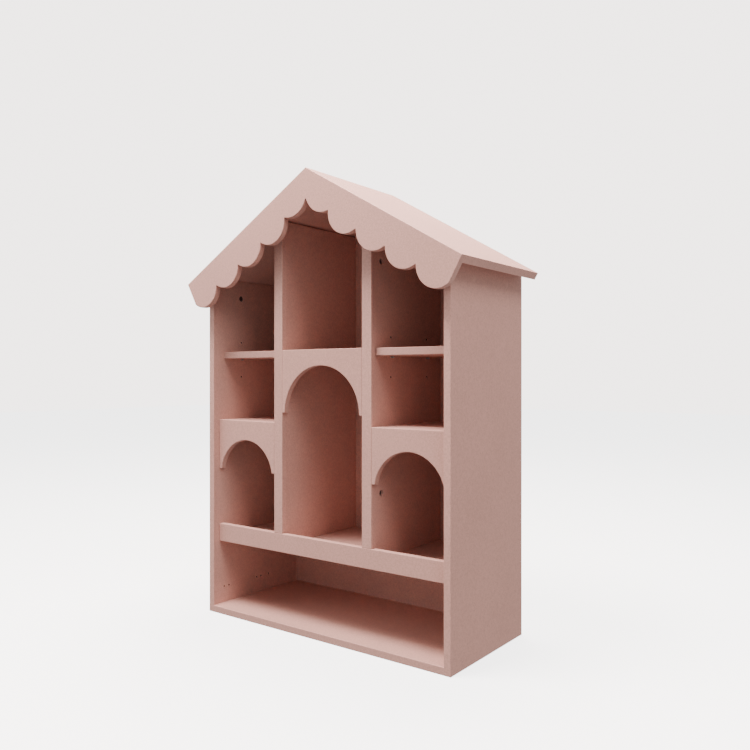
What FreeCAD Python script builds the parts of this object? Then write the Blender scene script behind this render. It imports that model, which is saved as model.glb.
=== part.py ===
import FreeCAD, Part
from FreeCAD import Vector
import math
import os

# Open-fronted wooden dollhouse shelf: a flat-packed box of painted fibreboard with a
# pitched roof and a scalloped fascia. Millimetres, +Z up, the front faces -Y.
# The origin is on the floor, under the middle of the whole footprint.
# "Left" and "right" are as seen from the front.

# Overall sizes
CARCASS_WIDTH = 512.0           # over the outer faces of the side panels
CARCASS_DEPTH = 225.0           # side panels, front edge to back edge
RIDGE_HEIGHT = 760.5            # floor to the top of the ridge
ROOF_PITCH = math.radians(30.0)
EAVE_OVERHANG = 32.5            # level distance from a side panel to the tip of the eave
FASCIA_OVERHANG = 23.0          # front of the carcass to the front of the fascia
ROOF_BACK_SETBACK = 7.0         # back edge of the roof, in front of the side panels' back edges

# Board thicknesses
SIDE_THICKNESS = 12.0
BOTTOM_THICKNESS = 12.0
SHELF_THICKNESS = 12.0
DIVIDER_THICKNESS = 16.0
ROOF_THICKNESS = 12.0
FASCIA_THICKNESS = 10.0
FRAME_THICKNESS = 10.0          # rail, posts and arch panels
BACK_THICKNESS = 6.0
BACK_RECESS = 2.0               # back panel, in from the side panels' back edges
EDGE_ROUND = 1.0                # softened edges of every painted board

# Levels and the front frame
FLOOR_TOP = 139.0               # ground floor
RAIL_HEIGHT = 32.0
SIDE_ARCH_SHELF_TOP = 348.0
UPPER_SHELF_TOP = 471.4         # centre arch shelf and both loose shelves
DIVIDER_ROOF_GAP = 3.5          # left over the dividers, as the roof rests on the side panels
FRAME_SETBACK = 13.0            # front of the carcass to the front of rail, posts and arches
CENTRE_BAY_WIDTH = 171.6        # between the posts
POST_WIDTH = 19.0
SIDE_ARCH_PANEL_HEIGHT = 88.7
SIDE_ARCH_CROWN_COVER = 34.7    # wood left above the crown of a side arch
CENTRE_ARCH_PANEL_HEIGHT = 106.4
CENTRE_ARCH_CROWN_COVER = 26.9
ARCH_LEG = 5.6                  # wood left beside an arch

# Fascia scallops, measured square to the roof slope
SCALLOP_PITCH = 63.4
SCALLOP_CUSP_DEPTH = 43.9       # top edge of the fascia to a cusp
SCALLOP_SAG = 19.9              # cusp to the bottom of a scallop
INNER_CUSP_DISTANCE = 79.5      # ridge to the first regular cusp, down the slope
INNER_SCALLOP_X = 36.0          # centre of the first, smaller scallop from the middle
INNER_SCALLOP_DROP = 39.3       # and below the ridge
INNER_SCALLOP_RADIUS = 37.0
CUSP_RADIUS = 1.0               # left in each cusp by the cutter

# Loose shelves and their pins
LOOSE_SHELF_SETBACK = 24.0      # front of the carcass to the front of a loose shelf
LOOSE_SHELF_BACK_GAP = 3.0
LOOSE_SHELF_END_GAP = 0.5       # to the post and to the side panel
PIN_RADIUS = 1.5
PIN_DEPTH = 8.0                 # length in the wood
PIN_REACH = 6.0                 # length out of the wood
PIN_CHAMFER = 0.4
PIN_GAP = 0.3                   # under the loose shelf
PIN_INSET = 43.0                # pin column from the shelf's front or back edge
PIN_PITCH = 32.0

# Dowels
DOWEL_RADIUS = 3.0
DOWEL_SEAT = 8.0                # depth in the face of a 12 or 16 mm board
DOWEL_THIN_SEAT = 7.0           # depth in the back of a 10 mm board
DOWEL_TAIL = 22.0               # depth in the edge of the other board
DOWEL_EDGE = 45.0               # outermost dowel of a row from the edges of the board
RIDGE_TONGUE_WIDTH = 12.0
RIDGE_TONGUE_THICKNESS = 3.0
RIDGE_TONGUE_INSET = 10.0       # ends of the tongue from the ends of the roof boards

# Cam locks
CAM_RADIUS = 5.0
CAM_COVER = 1.5                 # side panel's face to a cam inside it, on either side
CAM_HOLE_FLOOR = 0.5            # part of that cover, left free under a cam
CAM_POCKET_RADIUS = 3.1
CAM_BOLT_RADIUS = 3.0
CAM_NECK_RADIUS = 2.0
CAM_HEAD_LENGTH = 3.0
CAM_THREAD_RADIUS = 2.5
CAM_THREAD_LENGTH = 8.0
CAM_THREAD_LEAD = 2.5           # start of the thread, short of the sloping roof
POST_CAM_DISTANCE = 18.0        # post's back face to the middle of the cam
POST_CAM_SPACING = 366.0
ROOF_CAM_DROP = 30.0            # under the roof, at the middle of the side panel

# Screws of the back panel
SCREW_RADIUS = 1.75
SCREW_HEAD_RADIUS = 3.5
SCREW_HEAD_HEIGHT = 2.5
SCREW_LENGTH = 25.0
SCREW_SLOT_LENGTH = 4.0
SCREW_SLOT_WIDTH = 0.9
SCREW_SLOT_DEPTH = 1.2
SCREW_EDGE = 30.0               # outermost screw from the end of the board it enters

# Pilot holes for drawer runners, low on the inside of both side panels
RUNNER_HOLE_RADIUS = 1.5
RUNNER_HOLE_DEPTH = 8.0
RUNNER_HOLE_HEIGHT = 41.0
RUNNER_HOLE_SETBACKS = (25.0, 36.5, 107.0, 118.0, 139.0)

# Places that follow from the sizes above
HALF_WIDTH = CARCASS_WIDTH / 2
SIDE_INNER = HALF_WIDTH - SIDE_THICKNESS
SIDE_MIDDLE = HALF_WIDTH - SIDE_THICKNESS / 2
CARCASS_FRONT = FASCIA_OVERHANG - (CARCASS_DEPTH + FASCIA_OVERHANG) / 2
CARCASS_BACK = CARCASS_FRONT + CARCASS_DEPTH
FASCIA_FRONT = CARCASS_FRONT - FASCIA_OVERHANG
ROOF_FRONT = FASCIA_FRONT + FASCIA_THICKNESS
ROOF_BACK = CARCASS_BACK - ROOF_BACK_SETBACK
BACK_FACE = CARCASS_BACK - BACK_RECESS
BACK_FRONT = BACK_FACE - BACK_THICKNESS
FRAME_FRONT = CARCASS_FRONT + FRAME_SETBACK
FRAME_BACK = FRAME_FRONT + FRAME_THICKNESS
FLOOR_UNDER = FLOOR_TOP - SHELF_THICKNESS
RAIL_TOP = FLOOR_UNDER + RAIL_HEIGHT
POST_INNER = CENTRE_BAY_WIDTH / 2
POST_OUTER = POST_INNER + POST_WIDTH
DIVIDER_MIDDLE = POST_INNER + POST_WIDTH / 2
DIVIDER_INNER = DIVIDER_MIDDLE - DIVIDER_THICKNESS / 2
DIVIDER_OUTER = DIVIDER_MIDDLE + DIVIDER_THICKNESS / 2
EAVE_TIP = HALF_WIDTH + EAVE_OVERHANG
SLOPE_LENGTH = EAVE_TIP / math.cos(ROOF_PITCH)
LOOSE_SHELF_FRONT = CARCASS_FRONT + LOOSE_SHELF_SETBACK
LOOSE_SHELF_BACK = BACK_FRONT - LOOSE_SHELF_BACK_GAP
PIN_HEIGHT = UPPER_SHELF_TOP - SHELF_THICKNESS - PIN_GAP - PIN_RADIUS
PIN_COLUMNS = (LOOSE_SHELF_FRONT + PIN_INSET, LOOSE_SHELF_BACK - PIN_INSET)
CAM_THICKNESS = SIDE_THICKNESS - 2 * CAM_COVER
SIDES = (-1, 1)                 # left and right

ALONG_X = Vector(1, 0, 0)
ALONG_Y = Vector(0, 1, 0)
ALONG_Z = Vector(0, 0, 1)


def roof_underside(x):
    """Height of the roof's lower face at a distance x from the middle."""
    return RIDGE_HEIGHT - abs(x) * math.tan(ROOF_PITCH) - ROOF_THICKNESS / math.cos(ROOF_PITCH)


def on_slope(along, deep):
    """Point of the right-hand roof, down the slope from the ridge and then square to it."""
    x = along * math.cos(ROOF_PITCH) - deep * math.sin(ROOF_PITCH)
    z = RIDGE_HEIGHT - along * math.sin(ROOF_PITCH) - deep * math.cos(ROOF_PITCH)
    return Vector(x, 0, z)


def block(x_range, y_range, z_range):
    """Plain board between its lowest and highest x, y and z."""
    low = Vector(min(x_range), min(y_range), min(z_range))
    high = Vector(max(x_range), max(y_range), max(z_range))
    size = high - low
    return Part.makeBox(size.x, size.y, size.z, low)


def upright(inner, outer, y_range, bottom, roof_gap=0.0):
    """Right-hand upright board whose top is bevelled to the slope of the roof above it."""
    outline = [
        Vector(inner, 0, bottom),
        Vector(outer, 0, bottom),
        Vector(outer, 0, roof_underside(outer) - roof_gap),
        Vector(inner, 0, roof_underside(inner) - roof_gap),
    ]
    return extruded(outline, y_range)


def extruded(outline, y_range):
    """Straight-sided outline of the front view, extruded from the first y to the second."""
    wire = Part.makePolygon(outline + outline[:1])
    wire.translate(Vector(0, y_range[0], 0))
    return Part.Face(wire).extrude(Vector(0, y_range[1] - y_range[0], 0))


def softened(board, keep=lambda edge: True):
    """Board with its edges rounded, or only those edges that keep() picks."""
    return board.makeFillet(EDGE_ROUND, [edge for edge in board.Edges if keep(edge)])


def in_face(y):
    """Picks the edges that lie in the front or back face at y."""
    return lambda edge: max(abs(edge.BoundBox.YMin - y), abs(edge.BoundBox.YMax - y)) < 0.01


def rod(start, direction, length, radius=DOWEL_RADIUS):
    """Round bar from a start point."""
    return Part.makeCylinder(radius, length, start, direction)


def row(low, high, count):
    """Evenly spaced places from low to high."""
    return [low + (high - low) * step / (count - 1) for step in range(count)]


def mirrored(shape):
    """The same piece on the other side of the house."""
    return shape.mirror(Vector(0, 0, 0), ALONG_X)


# Boards. Those that come in pairs are drawn for the right-hand side. ----------------


def carcass():
    """Side panels and bottom panel in one, so that their joined front edges round as one."""
    depth = (CARCASS_FRONT, CARCASS_BACK)
    side = upright(SIDE_INNER, HALF_WIDTH, depth, 0)
    width = (-SIDE_INNER, SIDE_INNER)
    bottom = block(width, (CARCASS_FRONT, BACK_FRONT), (0, BOTTOM_THICKNESS))
    shell = bottom.multiFuse([side, mirrored(side)]).removeSplitter()
    at_back_of_bottom = in_face(BACK_FRONT)

    def rounded(edge):
        span = edge.BoundBox
        low_and_level = span.ZMax < BOTTOM_THICKNESS + EDGE_ROUND and span.XLength < 0.01
        in_corner = low_and_level and abs(abs(span.XMin) - SIDE_INNER) < 0.01
        return not in_corner and not at_back_of_bottom(edge)

    return softened(shell, rounded)


def side_panel():
    """Outer wall, from the floor to the roof."""
    width = (SIDE_INNER, HALF_WIDTH)
    return carcass().common(block(width, (CARCASS_FRONT, CARCASS_BACK), (0, RIDGE_HEIGHT)))


def bottom_panel():
    """Lowest board, between the side panels and flush with their front edges."""
    width = (-SIDE_INNER, SIDE_INNER)
    return carcass().common(block(width, (CARCASS_FRONT, BACK_FRONT), (0, BOTTOM_THICKNESS)))


def floor_shelf():
    """Ground floor, behind the rail."""
    width = (-SIDE_INNER, SIDE_INNER)
    return block(width, (FRAME_BACK, BACK_FRONT), (FLOOR_UNDER, FLOOR_TOP))


def front_rail():
    """Rail across the front of the floor shelf, standing above it as a lip."""
    width = (-SIDE_INNER, SIDE_INNER)
    return softened(block(width, (FRAME_FRONT, FRAME_BACK), (FLOOR_UNDER, RAIL_TOP)))


def post():
    """Front post, from the rail to the roof, in front of a divider."""
    depth = (FRAME_FRONT, FRAME_BACK)
    return softened(upright(POST_INNER, POST_OUTER, depth, RAIL_TOP))


def divider():
    """Inner wall, from the floor shelf to just under the roof, thinner than its post."""
    depth = (FRAME_BACK, BACK_FRONT)
    wall = upright(DIVIDER_INNER, DIVIDER_OUTER, depth, FLOOR_TOP, DIVIDER_ROOF_GAP)
    return softened(wall)


def arch_panel(x_range, top, height, crown_cover):
    """Panel with a round arch cut up into it, its top level with the shelf behind."""
    low, high = x_range
    middle = (low + high) / 2
    radius = (high - low) / 2 - ARCH_LEG
    arch_centre = top - crown_cover - radius
    bottom = top - height
    panel = block(x_range, (FRAME_FRONT, FRAME_BACK), (bottom, top))
    start = Vector(middle, FRAME_FRONT, arch_centre)
    opening = rod(start, ALONG_Y, FRAME_THICKNESS, radius)
    if arch_centre > bottom:
        legs = block(
            (middle - radius, middle + radius), (FRAME_FRONT, FRAME_BACK), (bottom, arch_centre)
        )
        opening = opening.fuse(legs).removeSplitter()
    return softened(panel.cut(opening))


def arch_shelf(x_range, top):
    """Fixed shelf behind an arch panel."""
    return block(x_range, (FRAME_BACK, BACK_FRONT), (top - SHELF_THICKNESS, top))


def loose_shelf():
    """Loose shelf of a side bay, narrow enough to be drawn out past the post."""
    width = (POST_OUTER + LOOSE_SHELF_END_GAP, SIDE_INNER - LOOSE_SHELF_END_GAP)
    height = (UPPER_SHELF_TOP - SHELF_THICKNESS, UPPER_SHELF_TOP)
    return softened(block(width, (LOOSE_SHELF_FRONT, LOOSE_SHELF_BACK), height))


def roof_board():
    """Half of the roof, mitred at the ridge and cut square at the eave."""
    outline = [
        on_slope(0, 0),
        on_slope(SLOPE_LENGTH, 0),
        on_slope(SLOPE_LENGTH, ROOF_THICKNESS),
        Vector(0, 0, roof_underside(0)),
    ]
    board = extruded(outline, (ROOF_FRONT, ROOF_BACK))
    in_back = in_face(ROOF_BACK)
    return softened(board, lambda edge: in_back(edge) and edge.BoundBox.XLength > 0.01)


def scallop_centres():
    """Centres and radii of the right-hand scallops, from the middle to the eave."""
    count = round((SLOPE_LENGTH - INNER_CUSP_DISTANCE) / SCALLOP_PITCH)
    pitch = (SLOPE_LENGTH - INNER_CUSP_DISTANCE) / count
    radius = ((pitch / 2) ** 2 + SCALLOP_SAG ** 2) / (2 * SCALLOP_SAG)
    deep = SCALLOP_CUSP_DEPTH + SCALLOP_SAG - radius
    inner = Vector(INNER_SCALLOP_X, 0, RIDGE_HEIGHT - INNER_SCALLOP_DROP)
    circles = [(inner, INNER_SCALLOP_RADIUS)]
    for step in range(count):
        along = INNER_CUSP_DISTANCE + pitch * (step + 0.5)
        circles.append((on_slope(along, deep), radius))
    return circles


def cusp_between(first, second):
    """Lower crossing of two neighbouring scallop circles."""
    (centre, radius), (next_centre, next_radius) = first, second
    apart = next_centre - centre
    gap = apart.Length
    reach = (gap ** 2 + radius ** 2 - next_radius ** 2) / (2 * gap)
    drop = math.sqrt(radius ** 2 - reach ** 2)
    step = apart.normalize()
    return centre + step * reach + Vector(step.z, 0, -step.x) * drop


def scalloped_fascia():
    """Gable board that covers the front edges of the roof, with a scalloped lower edge."""
    circles = scallop_centres()
    (inner, inner_radius) = circles[0]
    drop = math.sqrt(inner_radius ** 2 - inner.x ** 2)
    cusps = [Vector(0, 0, inner.z - drop)]
    cusps += [cusp_between(*pair) for pair in zip(circles, circles[1:])]
    cusps.append(on_slope(SLOPE_LENGTH, SCALLOP_CUSP_DEPTH))
    down_slope = Vector(-math.sin(ROOF_PITCH), 0, -math.cos(ROOF_PITCH))
    edges = []
    for (centre, radius), start, end in zip(circles, cusps, cusps[1:]):
        edges.append(Part.Arc(start, centre + down_slope * radius, end).toShape())
    tip = on_slope(SLOPE_LENGTH, 0)
    edges.append(Part.makeLine(cusps[-1], tip))
    edges.append(Part.makeLine(tip, on_slope(0, 0)))
    edges += [mirrored(edge) for edge in edges]
    wire = Part.Wire(Part.__sortEdges__(edges))
    wire.translate(Vector(0, FASCIA_FRONT, 0))
    board = Part.Face(wire).extrude(Vector(0, FASCIA_THICKNESS, 0))
    cusp_heights = [cusp.z for cusp in cusps[:-1]]

    def in_cusp(edge):
        span = edge.BoundBox
        straight_back = span.ZLength < 0.01 and span.YLength > FASCIA_THICKNESS / 2
        return straight_back and min(abs(span.ZMin - z) for z in cusp_heights) < 0.01

    board = board.makeFillet(CUSP_RADIUS, [edge for edge in board.Edges if in_cusp(edge)])
    return softened(board, in_face(FASCIA_FRONT))


def back_panel():
    """House-shaped back, let in between the side panels and under the roof."""
    shoulder = roof_underside(SIDE_INNER)
    outline = [
        Vector(-SIDE_INNER, 0, 0),
        Vector(SIDE_INNER, 0, 0),
        Vector(SIDE_INNER, 0, shoulder),
        Vector(0, 0, roof_underside(0)),
        Vector(-SIDE_INNER, 0, shoulder),
    ]
    return extruded(outline, (BACK_FRONT, BACK_FACE))


def ridge_tongue():
    """Loose tongue glued into both sides of the ridge mitre."""
    middle = (RIDGE_HEIGHT + roof_underside(0)) / 2
    half_width = RIDGE_TONGUE_WIDTH / 2
    half_thickness = RIDGE_TONGUE_THICKNESS / 2
    return block(
        (-half_width, half_width),
        (ROOF_FRONT + RIDGE_TONGUE_INSET, ROOF_BACK - RIDGE_TONGUE_INSET),
        (middle - half_thickness, middle + half_thickness),
    )


# Fasteners ------------------------------------------------------------------------


def end_dowels(face, top, thickness, setbacks, inward):
    """Level dowels that hold the end of a board in the face of an upright at x = face."""
    middle = top - thickness / 2
    start = face - inward * DOWEL_SEAT
    length = DOWEL_SEAT + DOWEL_TAIL
    return [rod(Vector(start, y, middle), ALONG_X * inward, length) for y in setbacks]


def front_dowels(back_face, places):
    """Dowels from the back of a 10 mm front board into the edge of the board behind it."""
    length = DOWEL_THIN_SEAT + DOWEL_TAIL
    depth = back_face - DOWEL_THIN_SEAT
    return [rod(Vector(x, depth, z), ALONG_Y, length) for x, z in places]


def carcass_dowels():
    """Dowels of the bottom panel and the floor shelf in both side panels."""
    dowels = []
    for side in SIDES:
        low = row(CARCASS_FRONT + DOWEL_EDGE, BACK_FRONT - DOWEL_EDGE, 3)
        dowels += end_dowels(side * SIDE_INNER, BOTTOM_THICKNESS, BOTTOM_THICKNESS, low, -side)
        high = row(FRAME_BACK + DOWEL_EDGE, BACK_FRONT - DOWEL_EDGE, 3)
        dowels += end_dowels(side * SIDE_INNER, FLOOR_TOP, SHELF_THICKNESS, high, -side)
    return dowels


def arch_shelf_dowels():
    """Dowels at both ends of the three fixed upper shelves."""
    setbacks = row(FRAME_BACK + DOWEL_EDGE, BACK_FRONT - DOWEL_EDGE, 2)
    dowels = []
    for side in SIDES:
        for face, top, inward in (
            (SIDE_INNER, SIDE_ARCH_SHELF_TOP, -side),
            (DIVIDER_OUTER, SIDE_ARCH_SHELF_TOP, side),
            (DIVIDER_INNER, UPPER_SHELF_TOP, -side),
        ):
            dowels += end_dowels(side * face, top, SHELF_THICKNESS, setbacks, inward)
    return dowels


def divider_dowels():
    """Upright dowels between the dividers and the floor shelf."""
    setbacks = row(FRAME_BACK + DOWEL_EDGE, BACK_FRONT - DOWEL_EDGE, 2)
    bottom = FLOOR_TOP - DOWEL_SEAT
    length = DOWEL_SEAT + DOWEL_TAIL
    return [
        rod(Vector(side * DIVIDER_MIDDLE, y, bottom), ALONG_Z, length)
        for side in SIDES
        for y in setbacks
    ]


def rail_dowels():
    """Dowels between the rail and the front edge of the floor shelf."""
    middle = FLOOR_TOP - SHELF_THICKNESS / 2
    places = row(-SIDE_INNER + DOWEL_EDGE, SIDE_INNER - DOWEL_EDGE, 4)
    return front_dowels(FRAME_BACK, [(x, middle) for x in places])


def arch_panel_dowels():
    """Dowels between the arch panels and the shelves behind them."""
    low = SIDE_ARCH_SHELF_TOP - SHELF_THICKNESS / 2
    high = UPPER_SHELF_TOP - SHELF_THICKNESS / 2
    places = [(x, high) for x in row(-POST_INNER + DOWEL_EDGE, POST_INNER - DOWEL_EDGE, 2)]
    for side in SIDES:
        spots = row(POST_OUTER + DOWEL_EDGE, SIDE_INNER - DOWEL_EDGE, 2)
        places += [(side * x, low) for x in spots]
    return front_dowels(FRAME_BACK, places)


def fascia_dowels():
    """Dowels between the fascia and the front edges of the roof boards."""
    places = []
    for side in SIDES:
        for along in row(DOWEL_EDGE, SLOPE_LENGTH - DOWEL_EDGE, 3):
            point = on_slope(along, ROOF_THICKNESS / 2)
            places.append((side * point.x, point.z))
    return front_dowels(ROOF_FRONT, places)


def shelf_pins(side):
    """Four pins under one loose shelf: two in the side panel, two in the divider."""
    pins = []
    for face, outward in ((side * SIDE_INNER, -side), (side * DIVIDER_OUTER, side)):
        for y in PIN_COLUMNS:
            start = Vector(face - outward * PIN_DEPTH, y, PIN_HEIGHT)
            pin = rod(start, ALONG_X * outward, PIN_DEPTH + PIN_REACH, PIN_RADIUS)
            rims = [edge for edge in pin.Edges if edge.BoundBox.XLength < 0.01]
            pins.append(pin.makeChamfer(PIN_CHAMFER, rims))
    return pins


def cam_lock(centre, outward, pull):
    """Cam drum with a pocket on the side that its bolt comes in from."""
    start = centre - outward * (CAM_THICKNESS / 2)
    drum = rod(start, outward, CAM_THICKNESS, CAM_RADIUS)
    pocket_start = centre - pull * (CAM_HEAD_LENGTH / 2)
    return drum.cut(rod(pocket_start, pull, CAM_RADIUS + CAM_HEAD_LENGTH, CAM_POCKET_RADIUS))


def cam_holes(centre, outward, depth_to_face, pull, shank_length, thread_length):
    """Flat-bottomed hole for a cam, and the bolt's hole that crosses it."""
    below = CAM_THICKNESS / 2 + CAM_HOLE_FLOOR
    drum = rod(centre - outward * below, outward, below + depth_to_face, CAM_RADIUS)
    shank = rod(centre, pull, shank_length, CAM_BOLT_RADIUS)
    thread = rod(centre + pull * shank_length, pull, thread_length, CAM_THREAD_RADIUS)
    return [drum, shank, thread]


def cam_bolt(centre, pull, shank_length, thread_length):
    """Bolt from the middle of a cam: head, neck, shank and wood thread, all in line."""
    half_head = CAM_HEAD_LENGTH / 2
    bolt = rod(centre - pull * half_head, pull, CAM_HEAD_LENGTH, CAM_BOLT_RADIUS)
    neck = rod(centre + pull * half_head, pull, CAM_RADIUS - half_head, CAM_NECK_RADIUS)
    shank = rod(centre + pull * CAM_RADIUS, pull, shank_length - CAM_RADIUS, CAM_BOLT_RADIUS)
    thread = rod(centre + pull * shank_length, pull, thread_length, CAM_THREAD_RADIUS)
    return bolt.multiFuse([neck, shank, thread]).removeSplitter()


def post_cams():
    """Cams, bolts and holes that pull the posts back against the dividers."""
    middle = (RAIL_TOP + roof_underside(DIVIDER_MIDDLE)) / 2
    pull = ALONG_Y * -1
    cams, bolts, holes = [], [], []
    for side in SIDES:
        for z in row(middle - POST_CAM_SPACING / 2, middle + POST_CAM_SPACING / 2, 2):
            centre = Vector(side * DIVIDER_MIDDLE, FRAME_BACK + POST_CAM_DISTANCE, z)
            outward = ALONG_X * side
            cams.append(cam_lock(centre, outward, pull))
            lengths = (POST_CAM_DISTANCE, CAM_THREAD_LENGTH)
            bolts.append(cam_bolt(centre, pull, *lengths))
            holes += cam_holes(centre, outward, DIVIDER_THICKNESS / 2, pull, *lengths)
    return cams, bolts, holes


def roof_cams():
    """Cams, bolts and holes that pull the roof boards down on the side panels."""
    height = roof_underside(SIDE_MIDDLE) - ROOF_CAM_DROP
    lengths = (ROOF_CAM_DROP - CAM_THREAD_LEAD, CAM_THREAD_LEAD + CAM_THREAD_LENGTH)
    cams, bolts, holes = [], [], []
    for side in SIDES:
        for y in PIN_COLUMNS:
            centre = Vector(side * SIDE_MIDDLE, y, height)
            outward = ALONG_X * -side
            cams.append(cam_lock(centre, outward, ALONG_Z))
            bolts.append(cam_bolt(centre, ALONG_Z, *lengths))
            holes += cam_holes(centre, outward, SIDE_THICKNESS / 2, ALONG_Z, *lengths)
    return cams, bolts, holes


def back_screw(x, z):
    """Countersunk wood screw driven in from behind, with a cross recess in its head."""
    point = BACK_FACE - SCREW_LENGTH
    shank = rod(Vector(x, point, z), ALONG_Y, SCREW_LENGTH, SCREW_RADIUS)
    start = Vector(x, BACK_FACE - SCREW_HEAD_HEIGHT, z)
    head = Part.makeCone(SCREW_RADIUS, SCREW_HEAD_RADIUS, SCREW_HEAD_HEIGHT, start, ALONG_Y)
    return shank.fuse(head).removeSplitter()


def with_cross_recess(screw):
    """The screw with its driver slots, which the hole in the board doesn't need."""
    centre = screw.BoundBox.Center
    half_long = SCREW_SLOT_LENGTH / 2
    half_wide = SCREW_SLOT_WIDTH / 2
    depth = (BACK_FACE - SCREW_SLOT_DEPTH, BACK_FACE)
    long_range = (centre.x - half_long, centre.x + half_long)
    wide_range = (centre.x - half_wide, centre.x + half_wide)
    level = block(long_range, depth, (centre.z - half_wide, centre.z + half_wide))
    upright_slot = block(wide_range, depth, (centre.z - half_long, centre.z + half_long))
    return screw.cut(level.fuse(upright_slot))


def back_screws():
    """Screws from the back panel into the boards that meet it edge on."""
    places = []
    for top, thickness, reach, count in (
        (BOTTOM_THICKNESS, BOTTOM_THICKNESS, SIDE_INNER, 4),
        (FLOOR_TOP, SHELF_THICKNESS, SIDE_INNER, 4),
        (UPPER_SHELF_TOP, SHELF_THICKNESS, DIVIDER_INNER, 2),
    ):
        for x in row(-reach + SCREW_EDGE, reach - SCREW_EDGE, count):
            places.append((x, top - thickness / 2))
    divider_top = roof_underside(DIVIDER_OUTER) - DIVIDER_ROOF_GAP
    for side in SIDES:
        for x in row(DIVIDER_OUTER + SCREW_EDGE, SIDE_INNER - SCREW_EDGE, 2):
            places.append((side * x, SIDE_ARCH_SHELF_TOP - SHELF_THICKNESS / 2))
        for z in row(FLOOR_TOP + SCREW_EDGE, divider_top - SCREW_EDGE, 4):
            places.append((side * DIVIDER_MIDDLE, z))
    return [back_screw(x, z) for x, z in places]


def pin_holes():
    """Empty pin holes above and below the pins of both loose shelves."""
    holes = []
    for side in SIDES:
        for face, outward in ((side * SIDE_INNER, -side), (side * DIVIDER_OUTER, side)):
            for y in PIN_COLUMNS:
                for step in (-1, 1):
                    z = PIN_HEIGHT + step * PIN_PITCH
                    start = Vector(face - outward * PIN_DEPTH, y, z)
                    holes.append(rod(start, ALONG_X * outward, PIN_DEPTH, PIN_RADIUS))
    return holes


def runner_holes():
    """Pilot holes for drawer runners, on the inside of both side panels."""
    holes = []
    for side in SIDES:
        for setback in RUNNER_HOLE_SETBACKS:
            y = CARCASS_FRONT + setback
            start = Vector(side * (SIDE_INNER + RUNNER_HOLE_DEPTH), y, RUNNER_HOLE_HEIGHT)
            holes.append(rod(start, ALONG_X * -side, RUNNER_HOLE_DEPTH, RUNNER_HOLE_RADIUS))
    return holes


# Assembly -------------------------------------------------------------------------

boards = {
    "bottom_panel": bottom_panel(),
    "floor_shelf": floor_shelf(),
    "front_rail": front_rail(),
    "back_panel": back_panel(),
    "scalloped_fascia": scalloped_fascia(),
    "centre_arch_panel": arch_panel(
        (-POST_INNER, POST_INNER),
        UPPER_SHELF_TOP,
        CENTRE_ARCH_PANEL_HEIGHT,
        CENTRE_ARCH_CROWN_COVER,
    ),
    "centre_arch_shelf": arch_shelf((-DIVIDER_INNER, DIVIDER_INNER), UPPER_SHELF_TOP),
}
right_hand_boards = {
    "side_panel": side_panel(),
    "divider": divider(),
    "post": post(),
    "arch_panel": arch_panel(
        (POST_OUTER, SIDE_INNER),
        SIDE_ARCH_SHELF_TOP,
        SIDE_ARCH_PANEL_HEIGHT,
        SIDE_ARCH_CROWN_COVER,
    ),
    "arch_shelf": arch_shelf((DIVIDER_OUTER, SIDE_INNER), SIDE_ARCH_SHELF_TOP),
    "upper_shelf": loose_shelf(),
    "roof_board": roof_board(),
}
for name, board in right_hand_boards.items():
    boards["right_" + name] = board
    boards["left_" + name] = mirrored(board)

post_cam_locks, post_cam_bolts, post_cam_bores = post_cams()
roof_cam_locks, roof_cam_bolts, roof_cam_bores = roof_cams()
screws = back_screws()
fasteners = {
    "ridge_tongue": [ridge_tongue()],
    "carcass_dowels": carcass_dowels(),
    "arch_shelf_dowels": arch_shelf_dowels(),
    "divider_dowels": divider_dowels(),
    "rail_dowels": rail_dowels(),
    "arch_panel_dowels": arch_panel_dowels(),
    "fascia_dowels": fascia_dowels(),
    "left_shelf_pins": shelf_pins(-1),
    "right_shelf_pins": shelf_pins(1),
}
bores = [solid for group in fasteners.values() for solid in group]
bores += post_cam_bores + roof_cam_bores + screws + pin_holes() + runner_holes()
fasteners["post_cam_locks"] = post_cam_locks
fasteners["post_cam_bolts"] = post_cam_bolts
fasteners["roof_cam_locks"] = roof_cam_locks
fasteners["roof_cam_bolts"] = roof_cam_bolts
fasteners["back_screws"] = [with_cross_recess(screw) for screw in screws]

os.makedirs("parts", exist_ok=True)
for name, board in boards.items():
    tools = [bore for bore in bores if board.BoundBox.intersect(bore.BoundBox)]
    shape = board.cut(tools) if tools else board
    shape.exportStep("parts/" + name + ".step")
for name, group in fasteners.items():
    shape = Part.makeCompound(group) if len(group) > 1 else group[0]
    shape.exportStep("parts/" + name + ".step")
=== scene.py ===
import math

import bpy
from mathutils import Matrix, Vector

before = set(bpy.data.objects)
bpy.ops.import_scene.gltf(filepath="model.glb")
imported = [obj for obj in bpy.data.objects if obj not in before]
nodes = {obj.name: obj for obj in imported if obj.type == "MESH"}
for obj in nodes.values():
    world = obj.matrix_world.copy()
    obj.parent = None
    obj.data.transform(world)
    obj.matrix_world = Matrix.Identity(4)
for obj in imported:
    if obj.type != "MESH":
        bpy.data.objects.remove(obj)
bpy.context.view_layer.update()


# Carcass: two side panels and a bottom panel of 12 mm fibreboard, sawn, drilled, dowelled
# and glued, with their common front edge filled and sanded in one. They are sprayed all
# over with a dusty rose lacquer and stand straight on the floor.

MILLIMETRE = 0.001
ROSE_THIN = (0.645, 0.368, 0.311, 1)      # where the spray is lightest
ROSE_FULL = (0.525, 0.300, 0.253, 1)      # where it is heaviest
ROSE_EDGE_HIGHLIGHT = (0.680, 0.415, 0.357, 1)      # lighter along an edge: partly thin lacquer, partly a painted edge highlight
# near black painted into holes and narrow hollows as their shade
HOLE_SHADE_COLOUR = (0.050, 0.026, 0.019, 1)

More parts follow.
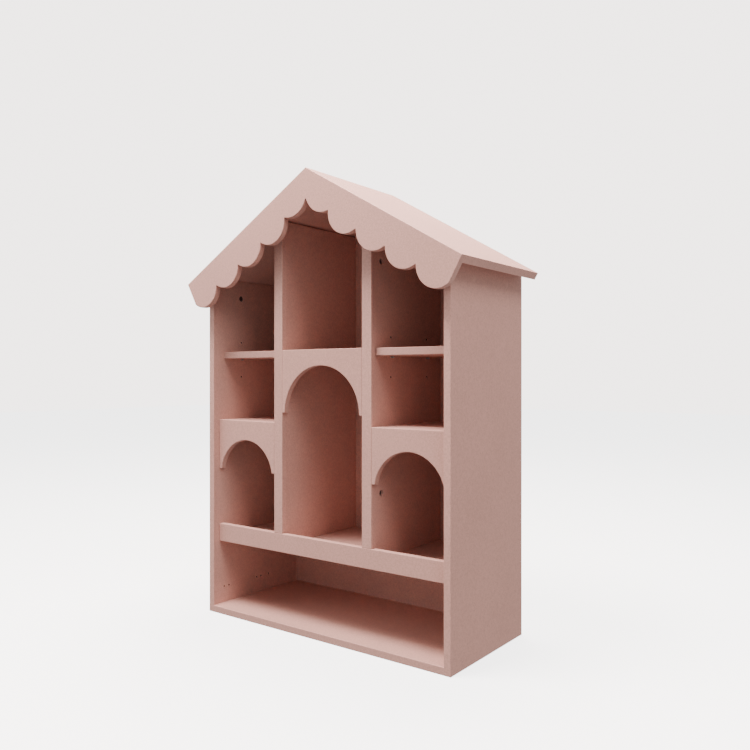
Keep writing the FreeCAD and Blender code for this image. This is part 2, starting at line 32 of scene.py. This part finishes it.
SPRAY_DRIFT = 120 * MILLIMETRE            # passes of the spray gun
ORANGE_PEEL = 3.6 * MILLIMETRE
SPRAY_SPECK = 1.9 * MILLIMETRE
PEEL_DEPTH = 0.22 * MILLIMETRE
EDGE_HIGHLIGHT_REACH = 1.6 * MILLIMETRE             # how far in from an edge the painted highlight reaches
HOLE_SHADE_REACH = 3.5 * MILLIMETRE             # a spot shut in within this reach is painted dark as shade
BOARD_SHIFT = (0.37, 0.61, 0.83)          # metres the pattern moves over a whole batch
BOARD_STEP = 0.37                         # from one board to the next, in parts of a batch
BATCH_SHADE = 0.03                        # how much the shade differs in a batch


class Level:
    """A number that varies over a surface. Arithmetic on it adds Math nodes."""

    def __init__(self, finish, socket):
        self.finish = finish
        self.socket = socket

    def maths(self, operation, first, second):
        return self.finish.node("Math", {"operation": operation}, {0: first, 1: second})

    def __add__(self, other):
        return self.maths("ADD", self, other)

    def __mul__(self, other):
        return self.maths("MULTIPLY", self, other)

    __radd__ = __add__
    __rmul__ = __mul__


class Finish:
    """The nodes of a material, or of the world, while they are being mixed."""

    def __init__(self, wearer):
        self.wearer = wearer
        self.wearer.use_nodes = True
        self.tree = self.wearer.node_tree
        self.tree.nodes.clear()

    def node(self, kind, settings, values, output=0):
        """Adds a node: its type, its settings, then the values or links of its sockets."""
        added = self.tree.nodes.new("ShaderNode" + kind)
        for name, value in settings.items():
            setattr(added, name, value)
        for name, value in values.items():
            if isinstance(value, Level):
                self.tree.links.new(value.socket, added.inputs[name])
            else:
                added.inputs[name].default_value = value
        return Level(self, added.outputs[output]) if added.outputs else None

    def place(self, move=(0, 0, 0), turn=(0, 0, 0), stretch=(1, 1, 1)):
        """Place on the piece in metres, moved, turned or stretched for its pattern."""
        spot = self.node("TexCoord", {}, {}, "Object")
        values = {"Vector": spot, "Location": move, "Rotation": turn, "Scale": stretch}
        return self.node("Mapping", {}, values)

    def cloud(self, spot, size, detail=2.0, roughness=0.5):
        """Noise from 0 to 1 in blotches of about that size in metres."""
        values = {"Vector": spot, "Scale": 1 / size, "Detail": detail, "Roughness": roughness}
        return self.node("TexNoise", {}, values)

    def between(self, amount, first, second):
        """Colour that goes from first to second as the amount goes from 0 to 1."""
        return self.node("Mix", {"data_type": "RGBA"}, {0: amount, 6: first, 7: second}, 2)

    def ramp(self, level, low, high, to_low=0.0, to_high=1.0):
        """Level taken smoothly from one range to another, and held at the ends."""
        settings = {"interpolation_type": "SMOOTHSTEP"}
        values = {0: level, 1: low, 2: high, 3: to_low, 4: to_high}
        return self.node("MapRange", settings, values)

    def openness(self, reach, samples, inside=False):
        """From 0 to 1, how free of the piece's own faces it is there, outside or inside."""
        settings = {"samples": samples, "only_local": True, "inside": inside}
        return self.node("AmbientOcclusion", settings, {"Distance": reach}, "AO")

    def relief(self, height, depth, strength):
        """Normal bumped by a height from 0 to 1 that is so many metres deep."""
        values = {"Height": height, "Distance": depth, "Strength": strength}
        return self.node("Bump", {}, values)

    def surface(self, values):
        """Closes the material with a Principled shader and returns it."""
        shader = self.node("BsdfPrincipled", {}, values)
        self.node("OutputMaterial", {}, {"Surface": shader})
        return self.wearer


def sprayed_rose(piece, batch):
    """Satin lacquer sprayed on fibreboard: grain, orange peel, edges lighter with a painted
    highlight, holes painted dark as shade.
    """
    finish = Finish(bpy.data.materials.new("sprayed_rose." + piece))
    spot = finish.place(move=[batch * shift for shift in BOARD_SHIFT])
    mist = finish.cloud(spot, SPRAY_DRIFT)
    mottle = finish.cloud(spot, ORANGE_PEEL, roughness=0.6)
    speck = finish.cloud(spot, SPRAY_SPECK, detail=1.0)
    shade = mist * 0.15 + mottle * 0.40 + speck * 0.45 + (batch - 0.5) * BATCH_SHADE
    grain = finish.between(finish.ramp(shade, 0.34, 0.66), ROSE_FULL, ROSE_THIN)
    # Convex edges are painted lighter: partly thin lacquer, partly a painted highlight where
    # a rounded edge catches light.
    under = finish.openness(EDGE_HIGHLIGHT_REACH, samples=4, inside=True)
    edge_highlight = finish.ramp(under, 0.45, 0.95, 1.0, 0.0) * finish.ramp(mottle, 0.25, 0.60)
    lacquer_and_highlight = finish.between(edge_highlight * 0.55, grain, ROSE_EDGE_HIGHLIGHT)
    # Holes and narrow hollows of the board are painted near black: painted shade, darker than
    # bare fibreboard.
    open_air = finish.openness(HOLE_SHADE_REACH, samples=6)
    hole_shade = finish.ramp(open_air, 0.35, 0.70, 1.0, 0.0)
    values = {
        "Base Color": finish.between(hole_shade, lacquer_and_highlight, HOLE_SHADE_COLOUR),
        "Roughness": mottle * 0.10 + mist * 0.06 + edge_highlight * 0.08 + 0.44 + hole_shade * 0.3,
        "Specular IOR Level": 0.22,
        "Normal": finish.relief(mottle * 0.5 + speck * 0.5, PEEL_DEPTH, 0.8),
    }
    return finish.surface(values)


def fit(material, *names):
    """Gives carried-over pieces their finish."""
    for name in names:
        piece = nodes[name]
        piece.data.materials.clear()
        piece.data.materials.append(material)


def coat(batch, *names):
    """Sprays carried-over boards, each from its own spot in the batch."""
    for step, name in enumerate(names):
        fit(sprayed_rose(name, (batch + step * BOARD_STEP) % 1), name)


coat(0.1, "bottom_panel", "left_side_panel", "right_side_panel")


# Floor shelf and front rail: the ground floor is dowelled between the side panels, and
# the rail is dowelled along its front edge, standing above it as a lip.

coat(0.3, "floor_shelf", "front_rail")


# Posts and dividers: each 16 mm inner wall stands on the floor shelf, and its 10 mm front
# post is drawn back against it by two cam bolts, so that the post covers its edge.

coat(0.5, "left_divider", "right_divider", "left_post", "right_post")


# Arch shelves and arch panels: fixed shelves dowelled between the uprights, with a panel
# in front whose arch is cut by router before spraying.

coat(0.2, "left_arch_shelf", "centre_arch_shelf", "right_arch_shelf")
coat(0.7, "left_arch_panel", "centre_arch_panel", "right_arch_panel")


# Loose shelves: boards of 12 mm fibreboard, sprayed like the rest. Each lies unfixed on
# four steel pins, two at either end, and slides out to the front.

coat(0.6, "left_upper_shelf", "right_upper_shelf")


# Back panel: thin fibreboard, sawn to the outline of the house, let in between the side
# panels and screwed on from behind.

coat(0.4, "back_panel")


# Roof boards and fascia: the two slopes are mitred at the ridge over a loose tongue, and
# the scalloped gable board is dowelled to their front edges, filled and sprayed in one.

coat(0.8, "left_roof_board", "right_roof_board", "scalloped_fascia")


# Shelf pins, cam bolts and back screws: turned or headed steel, bright zinc plated. They
# are pressed or screwed into drilled holes.

STEEL_DARK = (0.42, 0.42, 0.43, 1)
STEEL_LIGHT = (0.62, 0.62, 0.60, 1)
PLATING_CLOUD = 4 * MILLIMETRE
TOOL_MARK = 0.9 * MILLIMETRE
MARK_DEPTH = 0.02 * MILLIMETRE
MARK_STRETCH = (1, 6, 1)

finish = Finish(bpy.data.materials.new("plated_steel"))
cloud = finish.cloud(finish.place(), PLATING_CLOUD, detail=3.0)
marks = finish.cloud(finish.place(stretch=MARK_STRETCH), TOOL_MARK)
tone = finish.ramp(cloud * 0.6 + marks * 0.4, 0.3, 0.7)
values = {
    "Base Color": finish.between(tone, STEEL_DARK, STEEL_LIGHT),
    "Metallic": 1.0,
    "Roughness": marks * 0.25 + 0.28,
    "Normal": finish.relief(marks, MARK_DEPTH, 0.4),
}
plated_steel = finish.surface(values)
fit(plated_steel, "left_shelf_pins", "right_shelf_pins")
fit(plated_steel, "post_cam_bolts", "roof_cam_bolts", "back_screws")


# Cam locks: drums die-cast in zinc, turned with a screwdriver to draw their bolts in. Each
# sits at the bottom of a 10 mm hole and is coloured a dark reddish brown, painted shade of
# that hole.

# painted shade: dark reddish brown in place of zinc grey
ZINC_SHADE_DARK = (0.050, 0.032, 0.029, 1)
ZINC_SHADE_LIGHT = (0.095, 0.065, 0.059, 1)
CAST_GRAIN = 1.6 * MILLIMETRE
CAST_DEPTH = 0.05 * MILLIMETRE

finish = Finish(bpy.data.materials.new("die_cast_zinc"))
cast = finish.cloud(finish.place(), CAST_GRAIN, 4.0, 0.7)
values = {
    "Base Color": finish.between(cast, ZINC_SHADE_DARK, ZINC_SHADE_LIGHT),
    "Metallic": 0.35,
    "Roughness": cast * 0.2 + 0.55,
    "Normal": finish.relief(cast, CAST_DEPTH, 0.6),
}
fit(finish.surface(values), "post_cam_locks", "roof_cam_locks")


# Dowels and ridge tongue: bare beech, cut along the grain and glued into the holes and
# slots of the boards, out of sight.

BEECH_DARK = (0.50, 0.31, 0.17, 1)
BEECH_LIGHT = (0.68, 0.48, 0.29, 1)
BEECH_FLECK = (0.33, 0.18, 0.09, 1)
BEECH_GRAIN = 12 * MILLIMETRE
GRAIN_DEPTH = 0.05 * MILLIMETRE
FLECK_SIZE = 3.5 * MILLIMETRE
GRAIN_STRETCH = (1, 12, 12)
QUARTER_TURN = math.pi / 2


def bare_beech(name, turn):
    """Pale beech with its grain and short dark flecks along the piece."""
    finish = Finish(bpy.data.materials.new(name))
    along = finish.place(turn=turn, stretch=GRAIN_STRETCH)
    grain = finish.cloud(along, BEECH_GRAIN, 3.0, 0.6)
    fleck = finish.ramp(finish.cloud(along, FLECK_SIZE, detail=1.0), 0.62, 0.72)
    wood = finish.between(grain, BEECH_DARK, BEECH_LIGHT)
    values = {
        "Base Color": finish.between(fleck * 0.5, wood, BEECH_FLECK),
        "Roughness": grain * 0.15 + 0.55,
        "Normal": finish.relief(grain, GRAIN_DEPTH, 0.5),
    }
    return finish.surface(values)


fit(bare_beech("beech_across", (0, 0, 0)), "carcass_dowels", "arch_shelf_dowels")
beech_deep = bare_beech("beech_deep", (0, 0, QUARTER_TURN))
fit(beech_deep, "rail_dowels", "arch_panel_dowels", "fascia_dowels", "ridge_tongue")
fit(bare_beech("beech_upright", (0, QUARTER_TURN, 0)), "divider_dowels")


# Studio: a wide pale floor that throws no light back up, a white surround, and soft
# square lights round the house, the strongest high above its front and above its roof.

FLOOR_SIZE = 16.0
FLOOR_CLOUD = 0.9
FLOOR_GREY = (0.79, 0.79, 0.79, 1)
FLOOR_PALE = (0.81, 0.81, 0.81, 1)
FLOOR_GLOW = 3.5                          # light of its own
WHITE = (1, 1, 1, 1)

bpy.ops.object.select_all(action="DESELECT")
bpy.ops.mesh.primitive_plane_add(size=FLOOR_SIZE, location=(0, 0, 0))
floor = bpy.context.object
floor.name = "studio_floor"
floor.visible_diffuse = False
floor.visible_glossy = False
finish = Finish(bpy.data.materials.new("pale_floor"))
drift = finish.cloud(finish.place(), FLOOR_CLOUD)
values = {
    "Base Color": finish.between(drift, FLOOR_GREY, FLOOR_PALE),
    "Roughness": 0.8,
    "Specular IOR Level": 0.2,
    "Emission Color": WHITE,
    "Emission Strength": FLOOR_GLOW,
}
floor.data.materials.append(finish.surface(values))

HOUSE_MIDDLE = Vector((0, 0, 0.38))
WARM_WHITE = (1.0, 0.89, 0.85)
WARMER_WHITE = (1.0, 0.88, 0.80)


def soft_light(name, distance, azimuth, elevation, size, power, colour=WARM_WHITE):
    """Square light that faces the middle of the house, from degrees round and above it."""
    data = bpy.data.lights.new(name, "AREA")
    data.shape = "SQUARE"
    data.size = size
    data.energy = power
    data.color = colour
    light = bpy.data.objects.new(name, data)
    bpy.context.scene.collection.objects.link(light)
    turn, rise = math.radians(azimuth), math.radians(elevation)
    level = math.cos(rise)
    away = Vector((math.sin(turn) * level, -math.cos(turn) * level, math.sin(rise)))
    light.location = HOUSE_MIDDLE + away * distance
    light.rotation_euler = away.to_track_quat("Z", "Y").to_euler()


soft_light("key_light", distance=1.9, azimuth=-20, elevation=70, size=0.65, power=74.0)
soft_light("second_key", distance=1.9, azimuth=-20, elevation=62, size=0.65, power=18.0)
soft_light(
    "roof_light", distance=2.2, azimuth=190, elevation=78, size=0.9, power=105.0,
    colour=WARMER_WHITE,
)
soft_light("left_fill", distance=4.0, azimuth=-55, elevation=20, size=2.0, power=45.2)
soft_light("right_light", distance=3.0, azimuth=70, elevation=45, size=1.5, power=55.6)

ROOM_COLOUR = (1.0, 0.93, 0.90, 1)
ROOM_LIGHT = 0.57                         # on the house
WHITE_SURROUND = 4.2                      # behind it

finish = Finish(bpy.data.worlds.new("white_surround"))
seen = finish.node("LightPath", {}, {}, "Is Camera Ray")
levels = {"Value": seen, "To Min": ROOM_LIGHT, "To Max": WHITE_SURROUND}
shine = finish.node("MapRange", {}, levels)
room = finish.node("Background", {}, {"Color": ROOM_COLOUR, "Strength": shine})
finish.node("OutputWorld", {}, {"Surface": room})
bpy.context.scene.world = finish.wearer


# Camera: a plain lens held level, a little above half the height of the house and well
# to its right, turned so that the whole house is in a square frame.

CAMERA_PLACE = (0.8171, -1.0233, 0.4273)
CAMERA_LEVEL = math.radians(90)
CAMERA_HEADING = math.radians(37.014)

camera_data = bpy.data.cameras.new("camera")
camera_data.lens = 36.43
camera_data.sensor_width = 36.0
camera_data.shift_y = 0.00137
camera = bpy.data.objects.new("camera", camera_data)
bpy.context.scene.collection.objects.link(camera)
camera.location = CAMERA_PLACE
camera.rotation_euler = (CAMERA_LEVEL, 0, CAMERA_HEADING)
bpy.context.scene.camera = camera
